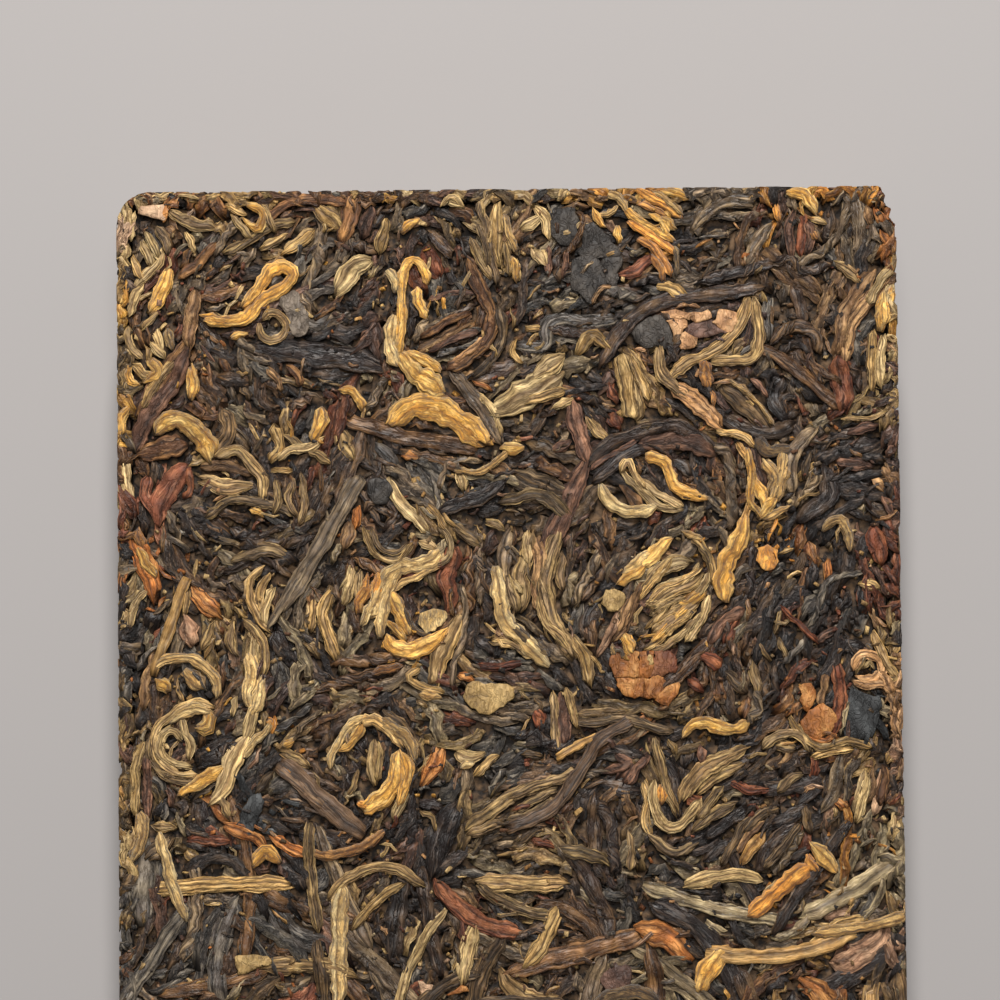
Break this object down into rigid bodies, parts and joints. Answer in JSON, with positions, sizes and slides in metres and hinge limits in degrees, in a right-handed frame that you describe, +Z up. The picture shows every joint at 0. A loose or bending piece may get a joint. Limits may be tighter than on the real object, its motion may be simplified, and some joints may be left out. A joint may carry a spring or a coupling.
{
  "type": "black tea brick",
  "caption": "Flat rectangular brick of pressed black tea, with twisted leaves, stalks and golden buds standing out on its faces, upright sides and rounded corners.",
  "frame": {"origin": "centre of the brick's footprint, on the surface it lies on", "axes": "+Z up, out of the shown face; +Y along the brick's length, towards the shown end; +X across its width, towards the crumbled corner"},
  "size_m": [0.09, 0.14, 0.025],
  "materials": {
    "pressed_tea": "dry pressed black tea leaf: matte, brown-black with tan and golden buds, slightly glossy dark leaves"
  },
  "bodies": {
    "root": {"tea_brick": "pressed_tea"}
  },
  "joints": []
}
